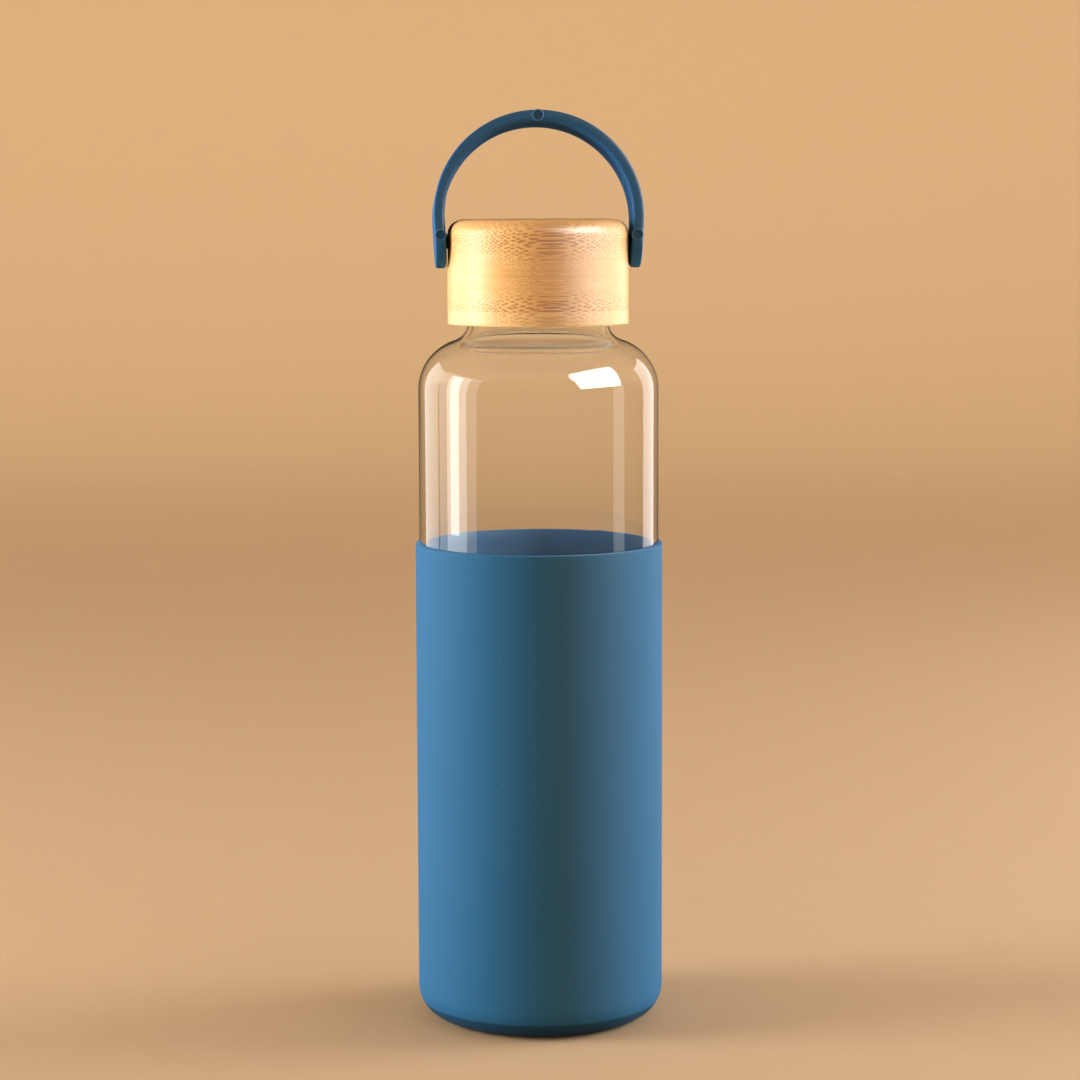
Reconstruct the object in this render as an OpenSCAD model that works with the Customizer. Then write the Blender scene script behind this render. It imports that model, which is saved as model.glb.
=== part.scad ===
// Glass water bottle with a silicone sleeve and a bamboo screw lid that carries a swinging bail handle.
// Millimetres. +Z is up, Z = 0 is the surface it stands on, and the Z axis is the axis of the bottle.
// The handle turns about an axis along X, and leans back towards +Y.

/* [Glass bottle] */
// Outside diameter of the glass body
body_d = 65; // [54:0.5:80]
// Height of the glass from its foot to its rim
glass_h = 204; // [160:1:250]
// Thickness of the glass wall
glass_wall = 1.8; // [1.4:0.1:2.4]
// Thickness of the glass floor at its edge
floor_t = 4; // [3:0.5:6]
// Rise of the hollow under the floor
punt_h = 2; // [1:0.5:2.5]
// Width of the flat ring that the glass stands on
foot_w = 4; // [2:0.5:6]
// Outside radius of the bottom corner of the glass
heel_r = 7.4; // [5:0.2:10]
// Outside radius of the shoulder
shoulder_r = 14; // [11:0.5:17]
// Outside diameter of the neck
neck_d = 38; // [31:0.5:46]
// Height of the rim above the top of the shoulder
neck_h = 19.3; // [17.5:0.1:24]
// Radius of the hollow curve between the shoulder and the neck
neck_fillet = 5; // [3:0.5:6]

/* [Screw thread] */
// Rise of the thread in one turn
pitch = 4; // [3.2:0.1:4.8]
// Height of the thread above the neck
thread_h = 1.2; // [0.9:0.1:1.5]
// Number of turns of the thread
thread_turns = 1.25; // [1:0.25:1.5]
// Depth of the end of the thread below the rim
thread_drop = 3.2; // [2.5:0.1:4]
// Radial clearance between the two threads
thread_gap = 0.35; // [0.25:0.05:0.5]
// Clearance along the axis between the two bearing flanks
thread_play = 0.3; // [0.2:0.05:0.5]
// Width of the glass thread at the neck
thread_root_w = 2.6; // [2.2:0.1:2.8]
// Width of the glass thread at its crest
thread_tip_w = 0.9; // [0.6:0.1:1.2]
// Width of the liner's thread at its wall
liner_root_w = 1.8; // [1.4:0.1:2]
// Width of the liner's thread at its crest
liner_tip_w = 0.8; // [0.5:0.1:1]

/* [Silicone sleeve] */
// Height of the sleeve above the surface that the bottle stands on
sleeve_h = 130.8; // [90:0.2:150]
// Thickness of the side of the sleeve
sleeve_wall = 1; // [0.8:0.1:2]
// Thickness of the sleeve under the glass
sleeve_base = 1.6; // [1.2:0.1:3]
// Depth of the recess under the sleeve
sleeve_recess = 0.5; // [0.2:0.1:0.8]
// Gap between the sleeve and the side of the glass
sleeve_fit = 0.05; // [0:0.01:0.2]
// Radius of the rounded rim of the sleeve
sleeve_rim_r = 0.4; // [0.1:0.05:0.4]

/* [Lid] */
// Thickness of the side of the bamboo cap
cap_wall = 2.6; // [2.3:0.05:5]
// Thickness of solid bamboo over the screw liner
cap_crown = 8.9; // [7.4:0.1:14]
// Radius of the top edge of the cap
cap_edge_r = 4; // [2.5:0.1:4.5]
// Radius of the bottom edge of the cap
cap_foot_r = 0.5; // [0.2:0.1:0.8]
// Gap between the cap and the top of the shoulder
cap_gap = 3.7; // [2.5:0.1:5]
// Thickness of the wall of the screw liner
liner_wall = 1.2; // [1:0.1:1.5]
// Thickness of the ceiling of the screw liner
liner_ceiling = 1.45; // [1:0.05:2]
// Height of the lower edge of the liner inside the cap
liner_recess = 0.8; // [0.4:0.1:1.5]
// Depth of each glue groove round the liner
glue_groove = 0.4; // [0.2:0.1:0.5]
// Height of each glue groove
glue_groove_h = 1.2; // [0.8:0.1:1.6]
// Height of the glue grooves above the lower edge of the liner
glue_groove_z = [5, 10]; // [4:0.5:11]
// Gap that the glue fills
glue_gap = 0.05; // [0.02:0.01:0.1]
// Thickness of the seal
seal_t = 2; // [1.5:0.1:2.5]
// Radial clearance round the seal, inside and outside
seal_clear = 0.3; // [0.2:0.05:0.5]
// Radius of the seal's edges
seal_round = 0.3; // [0.1:0.05:0.5]
// Gap over and under the seal
seal_gap = 0.05; // [0.02:0.01:0.15]

/* [Handle pivots] */
// Diameter of each pivot pin
pin_d = 4; // [3:0.1:5]
// Bamboo left between the pivot pins and the liner
pin_cover = 1; // [0.8:0.1:2]
// Length of each pin inside the bamboo
pin_root = 7.2; // [5:0.2:8.6]
// Chamfer on the outer end of each pin
pin_chamfer = 0.4; // [0.2:0.1:0.6]
// Radial running clearance between a pin and the handle
pin_clear = 0.06; // [0.03:0.01:0.1]
// Thickness of the pivot plates
plate_t = 1; // [0.8:0.1:1.2]
// Width of the pivot plates
plate_w = 10.4; // [8:0.2:12]
// Distance of the plate's flat face inside the widest part of the cap
plate_recess = 0.25; // [0.1:0.05:0.5]
// Distance of the centre of the plate's round end below the pivot
plate_drop = 1.2; // [0:0.1:2]
// Length of plate that hooks over the top of the cap
plate_hook = 1; // [0.5:0.1:2]

/* [Handle] */
// Width of the handle's band
band_w = 13.4; // [10:0.2:16]
// Thickness of the handle's band
band_t = 3; // [2.6:0.1:3.6]
// Height of the centre of the arch above the pivot
arm_h = 6.3; // [3:0.1:14]
// Lean of each arm towards the cap, in degrees
arm_draw = 2.9; // [1:0.1:4]
// Distance that the arch springs wider than the ears
arm_spread = 0.5; // [0.4:0.1:1.5]
// Gap between the ears and the cap
ear_gap = 0.3; // [0.2:0.05:0.6]
// Distance of the centre of each ear's round end below the pivot
ear_drop = 0.5; // [0:0.1:1.5]
// Depth of each blind hole in the ears
ear_bore_h = 2.2; // [1.6:0.1:2.4]
// Gap between the end of a pin and the bottom of its hole
ear_bore_gap = 0.25; // [0.1:0.05:0.5]
// Radius of the band's outer corners
band_outer_r = 0.5; // [0.3:0.1:0.8]
// Radius of the band's inner corners
band_inner_r = 1.1; // [0.5:0.1:1.4]
// Width of the channel along the inside of the band
channel_w = 5.2; // [3:0.2:6]
// Depth of the channel along the inside of the band
channel_h = 0.5; // [0.3:0.1:0.8]
// Diameter of the three ejector marks on the front edge
mark_d = 2.4; // [1.6:0.1:2.6]
// Depth of the ejector marks
mark_h = 0.2; // [0.1:0.05:0.3]
// Height of the two lower ejector marks above the pivot
mark_up = 1; // [0:0.1:3]
// Lean of the handle at rest, in degrees back from upright
handle_lean = 7.2; // [0:0.1:20]

/* [Hidden] */
$fn = 96;
ARC_STEP = 6;      // degrees between the points of a rounded corner
RIDGE_STEP = 7.5;  // degrees between the rings of a screw thread
RIDGE_FADE = 36;   // degrees over which a thread's end rises
RIDGE_SINK = 0.05; // depth of a thread's faded ends inside its wall
BURY = 0.3;        // depth of a thread's root inside its wall
OVERLAP = 2;       // length by which the two halves of an arm overlap
REACH = 40;        // longer than any cut needs

// Glass
body_r = body_d / 2;
neck_r = neck_d / 2;
neck_ri = neck_r - glass_wall;
glass_z = sleeve_base;
rim_z = glass_z + glass_h;
shoulder_top = rim_z - neck_h;
shoulder_z = shoulder_top - shoulder_r;
shoulder_x = body_r - shoulder_r;
fillet_x = neck_r + neck_fillet;
fillet_dx = fillet_x - shoulder_x;
fillet_z = shoulder_z + sqrt(pow(shoulder_r + neck_fillet, 2) - pow(fillet_dx, 2));
meet_a = atan2(fillet_z - shoulder_z, fillet_dx);
heel_x = body_r - heel_r;
foot_r = heel_x - foot_w;
floor_z = glass_z + floor_t;
heel_ri = heel_r - glass_wall;
punt_r = (pow(foot_r, 2) + pow(punt_h, 2)) / (2 * punt_h);
punt_a = asin(foot_r / punt_r);

// Thread
thread_r = neck_r + thread_h;
thread_z = rim_z - thread_drop - pitch * thread_turns;
liner_ri = thread_r + thread_gap;
ridge_r = neck_r + thread_gap;
ridge_z = thread_z - pitch / 2 + thread_play;
ridge_from = -90;
ridge_to = 360 * thread_turns - 90;

// Sleeve
sleeve_ri = body_r + sleeve_fit;
sleeve_r = sleeve_ri + sleeve_wall;
sleeve_heel = heel_r + sleeve_fit + sleeve_wall;

// Lid
seal_z = rim_z + seal_gap * 2;
seal_top = seal_z + seal_t;
liner_in_top = seal_top + seal_gap;
liner_top = liner_in_top + liner_ceiling;
liner_r = liner_ri + liner_wall;
bore_r = liner_r + glue_gap;
bore_top = liner_top + glue_gap;
cap_z = shoulder_top + cap_gap;
cap_top = bore_top + cap_crown;
cap_r = bore_r + cap_wall;
liner_z = cap_z + liner_recess;

// Pivots
pin_r = pin_d / 2;
pivot_z = bore_top + pin_cover + pin_r;
plate_x = cap_r - plate_recess;
plate_back = plate_x - plate_t;
pin_in = plate_back - pin_root;
pin_out = cap_r + ear_gap + ear_bore_h - ear_bore_gap;

// Handle
ear_x = cap_r + ear_gap;
arch_r = ear_x + band_t + arm_spread;
arch_ri = arch_r - band_t;

// Points of an arc about a centre, from one angle to another
function arc(cx, cy, r, from, to) =
    let (n = max(2, ceil(abs(to - from) / ARC_STEP)))
    [for (i = [0 : n]) let (a = from + (to - from) * i / n) [cx + r * cos(a), cy + r * sin(a)]];

// Height of a thread along its length, from 0 at its ends to 1
function fade(a, from, to) = min(1, (a - from) / RIDGE_FADE, (to - a) / RIDGE_FADE);

// Four corners of a thread's section at an angle
function ridge_ring(a, root, tip, bury, root_w, tip_w, z, f) =
    let (
        r = root + (tip - root) * f,
        zc = z + pitch * a / 360
    )
    [
        for (p = [[bury, -root_w / 2], [r, -tip_w / 2], [r, tip_w / 2], [bury, root_w / 2]])
            [p[0] * cos(a), p[0] * sin(a), zc + p[1]]
    ];

// A screw thread that winds up round the Z axis and fades out at both ends
module ridge(root, tip, bury, root_w, tip_w, z, from, to) {
    n = ceil((to - from) / RIDGE_STEP);
    start = root + (root < tip ? -RIDGE_SINK : RIDGE_SINK);
    points = [
        for (i = [0 : n])
            let (a = from + (to - from) * i / n)
            each ridge_ring(a, start, tip, bury, root_w, tip_w, z, fade(a, from, to))
    ];
    side = [
        for (i = [0 : n - 1], k = [0 : 3])
            let (a = 4 * i + k, b = 4 * i + (k + 1) % 4)
            each [[a, b, b + 4], [a, b + 4, a + 4]]
    ];
    ends = [[0, 3, 2], [0, 2, 1], [4 * n, 4 * n + 1, 4 * n + 2], [4 * n, 4 * n + 2, 4 * n + 3]];
    faces = concat(side, ends);
    polyhedron(points, root < tip ? faces : [for (f = faces) [f[2], f[1], f[0]]]);
}

// Glass: body, shoulder and neck in one wall, with a hollow under the floor
module glass_profile() {
    outside = concat(
        arc(0, glass_z + punt_h - punt_r, punt_r, 90, 90 - punt_a),
        arc(heel_x, glass_z + heel_r, heel_r, -90, 0),
        arc(shoulder_x, shoulder_z, shoulder_r, 0, meet_a),
        arc(fillet_x, fillet_z, neck_fillet, 180 + meet_a, 180)
    );
    rim = arc(neck_r - glass_wall / 2, rim_z - glass_wall / 2, glass_wall / 2, 0, 180);
    inside = concat(
        arc(fillet_x, fillet_z, neck_fillet + glass_wall, 180, 180 + meet_a),
        arc(shoulder_x, shoulder_z, shoulder_r - glass_wall, meet_a, 0),
        arc(heel_x, floor_z + heel_ri, heel_ri, 0, -90),
        [[0, floor_z]]
    );
    polygon(concat(outside, rim, inside));
}

module glass_body() {
    color([0.93, 0.96, 0.95, 0.35]) {
        rotate_extrude() glass_profile();
        ridge(neck_r, thread_r, neck_r - BURY, thread_root_w, thread_tip_w, thread_z, 0, 360 * thread_turns);
    }
}

// Sleeve: a stretched cup with a rounded rim, a round heel and a recess under it
module silicone_sleeve() {
    color([0.16, 0.36, 0.51])
        rotate_extrude()
            polygon(concat(
                [[0, sleeve_recess], [foot_r - sleeve_recess, sleeve_recess], [foot_r, 0]],
                arc(sleeve_r - sleeve_heel, sleeve_heel, sleeve_heel, -90, 0),
                arc(sleeve_r - sleeve_rim_r, sleeve_h - sleeve_rim_r, sleeve_rim_r, 0, 90),
                [[sleeve_ri, sleeve_h]],
                arc(heel_x, glass_z + heel_r, heel_r + sleeve_fit, 0, -90 + ARC_STEP),
                [[heel_x, glass_z], [0, glass_z]]
            ));
}

// Outline of a pivot plate seen along X: a strip with a round lower end
module plate_outline(grow) {
    translate([0, -plate_drop]) circle(plate_w / 2 + grow);
    translate([-plate_w / 2 - grow, -plate_drop]) square([plate_w + 2 * grow, REACH]);
}

// Block that holds a plate's outline along the whole of +X
module plate_block(grow) {
    translate([0, 0, pivot_z]) rotate([90, 0, 90]) linear_extrude(REACH) plate_outline(grow);
}

// Section of a plate in the XZ plane: down the side of the cap and hooked over its top edge
module plate_section(back, front) {
    edge_x = cap_r - cap_edge_r;
    edge_z = cap_top - cap_edge_r;
    polygon(concat(
        [[cap_r - back, pivot_z - REACH / 2]],
        arc(edge_x, edge_z, cap_edge_r - back, 0, 90),
        [[edge_x - plate_hook, cap_top - back], [edge_x - plate_hook, cap_top - front]],
        arc(edge_x, edge_z, cap_edge_r - front, 90, 0),
        [[cap_r - front, pivot_z - REACH / 2]]
    ));
}

module plate_shell(back, front) {
    rotate([90, 0, 0]) translate([0, 0, -REACH / 2]) linear_extrude(REACH) plate_section(back, front);
}

// Black plate that keeps the handle's ear off the bamboo
module pivot_plate() {
    difference() {
        intersection() {
            plate_block(0);
            plate_shell(plate_recess + plate_t, plate_recess);
        }
        pin_shape(0);
    }
}

// Pin with a chamfered end, which may be grown to cut its own hole
module pin_shape(grow) {
    translate([0, 0, pivot_z]) rotate([0, 90, 0]) rotate_extrude()
        polygon([
            [0, pin_in - grow], [pin_r + grow, pin_in - grow], [pin_r + grow, pin_out - pin_chamfer],
            [pin_r + grow - pin_chamfer, pin_out], [0, pin_out]
        ]);
}

// Pocket in the cap for one plate and its pin
module pivot_pocket() {
    intersection() {
        plate_block(glue_gap);
        difference() {
            translate([cap_r - cap_edge_r - plate_hook - glue_gap, -REACH / 2, pivot_z - REACH / 2])
                cube([REACH, REACH, REACH]);
            rotate([90, 0, 0]) translate([0, 0, -REACH]) linear_extrude(2 * REACH)
                pocket_core();
        }
    }
    pin_shape(glue_gap);
}

// Bamboo that is left behind a pocket, in the XZ plane
module pocket_core() {
    back = plate_recess + plate_t + glue_gap;
    polygon(concat(
        [[0, pivot_z - REACH]],
        [[cap_r - back, pivot_z - REACH]],
        arc(cap_r - cap_edge_r, cap_top - cap_edge_r, cap_edge_r - back, 0, 90),
        [[0, cap_top - back]]
    ));
}

// Cap turned from laminated bamboo
module bamboo_cap() {
    color([0.86, 0.66, 0.38])
        difference() {
            rotate_extrude()
                polygon(concat(
                    [[bore_r, cap_z]],
                    arc(cap_r - cap_foot_r, cap_z + cap_foot_r, cap_foot_r, -90, 0),
                    arc(cap_r - cap_edge_r, cap_top - cap_edge_r, cap_edge_r, 0, 90),
                    [[0, cap_top], [0, bore_top], [bore_r, bore_top]]
                ));
            pivot_pocket();
            mirror([1, 0, 0]) pivot_pocket();
        }
}

// Threaded cup that is glued into the cap and screws onto the neck
module screw_liner() {
    chamfer = liner_wall * 0.6;
    color([0.9, 0.9, 0.87]) {
        difference() {
            rotate_extrude()
                polygon([
                    [liner_ri + chamfer, liner_z], [liner_r, liner_z],
                    [liner_r, liner_top - chamfer], [liner_r - chamfer, liner_top], [0, liner_top],
                    [0, liner_in_top], [liner_ri, liner_in_top], [liner_ri, liner_z + chamfer]
                ]);
            for (z = glue_groove_z)
                translate([0, 0, liner_z + z]) difference() {
                    cylinder(h = glue_groove_h, r = liner_r + 1);
                    translate([0, 0, -1]) cylinder(h = glue_groove_h + 2, r = liner_r - glue_groove);
                }
        }
        ridge(liner_ri, ridge_r, liner_ri + BURY, liner_root_w, liner_tip_w, ridge_z, ridge_from, ridge_to);
    }
}

// Flat silicone ring between the rim and the ceiling of the liner
module seal_gasket() {
    seal_ri = neck_ri - seal_clear;
    seal_ro = liner_ri - seal_clear;
    color([0.95, 0.95, 0.93])
        rotate_extrude()
            polygon(concat(
                arc(seal_ro - seal_round, seal_z + seal_round, seal_round, -90, 0),
                arc(seal_ro - seal_round, seal_top - seal_round, seal_round, 0, 90),
                arc(seal_ri + seal_round, seal_top - seal_round, seal_round, 90, 180),
                arc(seal_ri + seal_round, seal_z + seal_round, seal_round, 180, 270)
            ));
}

module pivot_plate_left() {
    color([0.06, 0.06, 0.07]) mirror([1, 0, 0]) pivot_plate();
}

module pivot_plate_right() {
    color([0.06, 0.06, 0.07]) pivot_plate();
}

module pivot_pin_left() {
    color([0.1, 0.1, 0.11]) mirror([1, 0, 0]) pin_shape(0);
}

module pivot_pin_right() {
    color([0.1, 0.1, 0.11]) pin_shape(0);
}

// Section of the band: X is outwards, Y is across the band
module band_section() {
    half = band_w / 2;
    polygon(concat(
        arc(arch_r - band_outer_r, half - band_outer_r, band_outer_r, 0, 90),
        arc(arch_ri + band_inner_r, half - band_inner_r, band_inner_r, 90, 180),
        [[arch_ri, channel_w / 2], [arch_ri + channel_h, channel_w / 2 - channel_h]],
        [[arch_ri + channel_h, -channel_w / 2 + channel_h], [arch_ri, -channel_w / 2]],
        arc(arch_ri + band_inner_r, -half + band_inner_r, band_inner_r, 180, 270),
        arc(arch_r - band_outer_r, -half + band_outer_r, band_outer_r, 270, 360)
    ));
}

// Right arm and ear of the upright handle, about the pivot
module arm() {
    intersection() {
        translate([0, 0, arm_h]) rotate([0, arm_draw, 0]) mirror([0, 0, 1]) {
            linear_extrude(arm_h - band_w / 2 + ear_drop + OVERLAP) band_section();
            translate([arch_ri, -band_w / 2, arm_h - band_w / 2])
                cube([band_t, band_w, band_w + ear_drop]);
        }
        translate([0, 0, -ear_drop]) rotate([90, 0, 90]) linear_extrude(REACH) {
            circle(band_w / 2);
            translate([-band_w / 2, 0]) square([band_w, REACH]);
        }
        translate([ear_x, -REACH / 2, -REACH / 2]) cube([REACH, REACH, REACH]);
    }
}

module upright_handle() {
    front = band_w / 2;
    mark_x = arch_r - band_t / 2 - arm_h * tan(arm_draw);
    difference() {
        union() {
            translate([0, 0, arm_h]) rotate([90, 0, 0]) rotate([0, 0, -arm_draw])
                rotate_extrude(angle = 180 + 2 * arm_draw) band_section();
            arm();
            mirror([1, 0, 0]) arm();
        }
        for (side = [-1, 1]) {
            translate([side * ear_x, 0, 0]) rotate([0, side * 90, 0])
                translate([0, 0, -1]) cylinder(h = ear_bore_h + 1, r = pin_r + pin_clear);
            translate([side * mark_x, mark_h - front, mark_up]) rotate([90, 0, 0])
                cylinder(h = 1, d = mark_d);
        }
        translate([0, mark_h - front, arm_h + arch_r - band_t / 2]) rotate([90, 0, 0])
            cylinder(h = 1, d = mark_d);
    }
}

// Bail handle: its ears snap over the two pins
module carry_handle() {
    color([0.14, 0.33, 0.5])
        translate([0, 0, pivot_z]) rotate([-handle_lean, 0, 0]) upright_handle();
}

glass_body();
silicone_sleeve();
bamboo_cap();
screw_liner();
seal_gasket();
pivot_plate_left();
pivot_plate_right();
pivot_pin_left();
pivot_pin_right();
carry_handle();
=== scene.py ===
"""Glass water bottle: a clear body in a blue silicone sleeve, with a bamboo screw lid on a bail handle.

All sizes are in metres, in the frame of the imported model: +Z is up, the bottle stands on Z = 0, its
axis is the Z axis, and its front looks along -Y. The handle turns about an axis along X.
"""

import logging
import math
from contextlib import contextmanager
from dataclasses import dataclass, field
from enum import Enum
from typing import Any, Callable, Iterator, Mapping, Optional, Sequence, Union

import bmesh
import bpy
from mathutils import Matrix, Vector

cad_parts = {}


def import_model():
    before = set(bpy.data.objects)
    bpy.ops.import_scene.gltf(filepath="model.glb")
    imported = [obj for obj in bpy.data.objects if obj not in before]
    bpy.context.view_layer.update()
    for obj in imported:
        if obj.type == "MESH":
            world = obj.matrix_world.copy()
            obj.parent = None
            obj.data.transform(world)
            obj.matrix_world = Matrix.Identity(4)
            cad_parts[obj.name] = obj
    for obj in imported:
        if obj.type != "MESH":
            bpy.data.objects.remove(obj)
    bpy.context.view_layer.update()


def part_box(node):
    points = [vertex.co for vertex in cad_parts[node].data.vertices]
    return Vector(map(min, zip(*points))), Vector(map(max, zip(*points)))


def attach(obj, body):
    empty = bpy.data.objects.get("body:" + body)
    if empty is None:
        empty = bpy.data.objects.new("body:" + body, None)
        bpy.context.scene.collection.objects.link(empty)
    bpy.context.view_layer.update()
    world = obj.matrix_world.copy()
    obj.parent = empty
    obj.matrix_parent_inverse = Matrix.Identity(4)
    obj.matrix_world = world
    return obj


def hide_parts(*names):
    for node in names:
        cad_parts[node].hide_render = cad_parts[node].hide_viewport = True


LOG = logging.getLogger("bottle")
MM = 0.001
SIDES = 160  # sides of a turned piece

Point = tuple[float, float]
Colour = tuple[float, float, float]
Setting = Union[float, int, bool, str, Sequence[float]]


class Body(Enum):
    """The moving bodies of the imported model."""

    BOTTLE = "bottle"
    SEAL = "seal"
    LID = "lid"
    HANDLE = "handle"


class Axis(Enum):
    """The three axes that operators turn about."""

    X = 0
    Y = 1
    Z = 2

    @property
    def vector(self) -> Vector:
        """The unit vector along the axis."""
        return Vector([1.0 if i == self.value else 0.0 for i in range(3)])


# ---------------------------------------------------------------------------------------- modelling


@dataclass(frozen=True)
class Span:
    """Lowest and highest corner of a CAD node."""

    low: Vector
    high: Vector

    @classmethod
    def of(cls, node: str) -> "Span":
        """The span of the CAD node with that name."""
        low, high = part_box(node)
        return cls(Vector(low), Vector(high))

    @property
    def radius(self) -> float:
        """Outside radius of a node that is round the Z axis."""
        return (self.high.x - self.low.x) / 2


@contextmanager
def editing() -> Iterator[None]:
    """Edit mode on the active object, for the length of a with block."""
    bpy.ops.object.mode_set(mode="EDIT")
    yield
    bpy.ops.object.mode_set(mode="OBJECT")


def clear_selection() -> None:
    """Deselects every object."""
    bpy.ops.object.select_all(action="DESELECT")


def activate(piece: bpy.types.Object) -> None:
    """Makes the piece the only selected object, and the active one."""
    clear_selection()
    piece.select_set(True)
    bpy.context.view_layer.objects.active = piece


def name_new(name: str) -> bpy.types.Object:
    """Names the object that an add operator has just made.

    Args:
        name: The new name of the object and its mesh.

    Returns:
        The object.
    """
    piece = bpy.context.object
    piece.name = piece.data.name = name
    return piece


def choose(kind: str, test: Callable[[Any], bool]) -> int:
    """Selects the parts of the mesh in edit mode that pass a test, and nothing else.

    Args:
        kind: "verts", "edges" or "faces".
        test: Says whether one part is wanted.

    Returns:
        How many were selected.
    """
    bpy.ops.mesh.select_mode(type={"verts": "VERT", "edges": "EDGE", "faces": "FACE"}[kind])
    bpy.ops.mesh.select_all(action="DESELECT")
    work = bmesh.from_edit_mesh(bpy.context.object.data)
    work.normal_update()
    count = 0
    for part in getattr(work, kind):
        if test(part):
            part.select_set(True)
            count += 1
    work.select_flush_mode()
    bmesh.update_edit_mesh(bpy.context.object.data)
    return count


def middle(part: Any) -> Vector:
    """Middle of a vertex, an edge or a face."""
    if hasattr(part, "co"):
        return part.co
    return sum((v.co for v in part.verts), Vector()) / len(part.verts)


def swing(angle: float, axis: Axis, centre: Vector) -> None:
    """Turns what is selected about an axis, anticlockwise as seen from the axis's far end.

    Args:
        angle: Angle in radians.
        axis: Axis to turn about.
        centre: Point that the axis passes through.
    """
    bpy.ops.transform.rotate(value=-angle, orient_axis=axis.name, center_override=centre)


def stretch(factors: Vector, centre: Vector) -> None:
    """Scales what is selected about a point."""
    bpy.ops.transform.resize(value=factors, center_override=centre)


def lengthen(step: Vector) -> None:
    """Extrudes what is selected by one step."""
    bpy.ops.mesh.extrude_region_move(TRANSFORM_OT_translate={"value": step})


def clean(piece: bpy.types.Object, merge: float = 1e-6) -> None:
    """Settles a finished shape: its place goes into the mesh, doubles merge and faces look outwards.

    Args:
        piece: The object to settle.
        merge: Distance within which vertices merge.
    """
    activate(piece)
    bpy.ops.object.transform_apply(location=True, rotation=True, scale=True)
    with editing():
        bpy.ops.mesh.select_all(action="SELECT")
        bpy.ops.mesh.remove_doubles(threshold=merge)
        bpy.ops.mesh.normals_make_consistent(inside=False)


def smooth(piece: bpy.types.Object, degrees: float = 35) -> None:
    """Shades a piece smooth, apart from edges sharper than an angle."""
    activate(piece)
    bpy.ops.object.shade_smooth_by_angle(angle=math.radians(degrees))


def apply(piece: bpy.types.Object, kind: str, **settings: Any) -> None:
    """Adds a modifier to a piece and applies it.

    Args:
        piece: The object.
        kind: Type of the modifier.
        settings: Its settings.
    """
    activate(piece)
    modifier = piece.modifiers.new(kind.title(), kind)
    for key, value in settings.items():
        setattr(modifier, key, value)
    bpy.ops.object.modifier_apply(modifier=modifier.name)


def combine(piece: bpy.types.Object, tool: bpy.types.Object, operation: str) -> None:
    """Joins a tool to a piece, or cuts it away, and removes the tool.

    Args:
        piece: The solid that stays.
        tool: The solid that is used up.
        operation: "UNION", "DIFFERENCE" or "INTERSECT".
    """
    apply(piece, "BOOLEAN", operation=operation, object=tool, solver="EXACT")
    bpy.data.objects.remove(tool)


def arc(centre: Point, radius: float, start: float, end: float, steps: int) -> list[Point]:
    """Points on an arc, both ends included.

    Args:
        centre: Centre of the arc.
        radius: Its radius.
        start: Angle of the first point, in degrees.
        end: Angle of the last point, in degrees.
        steps: Number of chords.

    Returns:
        The points.
    """
    angles = [math.radians(start + (end - start) * i / steps) for i in range(steps + 1)]
    return [(centre[0] + radius * math.cos(a), centre[1] + radius * math.sin(a)) for a in angles]


def turn(name: str, outline: Sequence[Point], ring: bool = False, sides: int = SIDES) -> bpy.types.Object:
    """Turns an outline round the Z axis, one extruded ring after another.

    Args:
        name: Name of the new piece.
        outline: Radius and height of each ring. Both ends close on the axis, unless ring is true.
        ring: Whether the outline's end joins its start, round a hole.
        sides: Number of sides.

    Returns:
        The closed piece.
    """
    clear_selection()
    (radius, height), rest = outline[0], outline[1:]
    bpy.ops.mesh.primitive_circle_add(
        vertices=sides,
        radius=radius,
        location=(0, 0, height),
        fill_type="NOTHING" if ring else "TRIFAN",
    )
    piece = name_new(name)
    with editing():
        bpy.ops.mesh.select_all(action="SELECT")
        for next_radius, next_height in list(rest) + ([outline[0]] if ring else []):
            lengthen(Vector((0, 0, next_height - height)))
            factor = next_radius / radius
            if abs(factor - 1) > 1e-9:
                stretch(Vector((factor, factor, 1)), Vector((0, 0, 0)))
            radius, height = next_radius, next_height
    clean(piece)
    return piece


def rod(name: str, start: Vector, length: float, radius: float, axis: Axis, sides: int = 48) -> bpy.types.Object:
    """A plain solid rod, used as a start or as a cutting tool.

    Args:
        name: Name of the object.
        start: Middle of its first end.
        length: Length along the axis, which may be negative.
        radius: Its radius.
        axis: Axis that it lies along.
        sides: Number of sides.

    Returns:
        The rod.
    """
    clear_selection()
    turned = {Axis.X: (0, math.pi / 2, 0), Axis.Y: (math.pi / 2, 0, 0), Axis.Z: (0, 0, 0)}[axis]
    bpy.ops.mesh.primitive_cylinder_add(
        vertices=sides,
        radius=radius,
        depth=abs(length),
        location=start + axis.vector * (length / 2),
        rotation=turned,
    )
    piece = name_new(name)
    clean(piece)
    return piece


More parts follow.
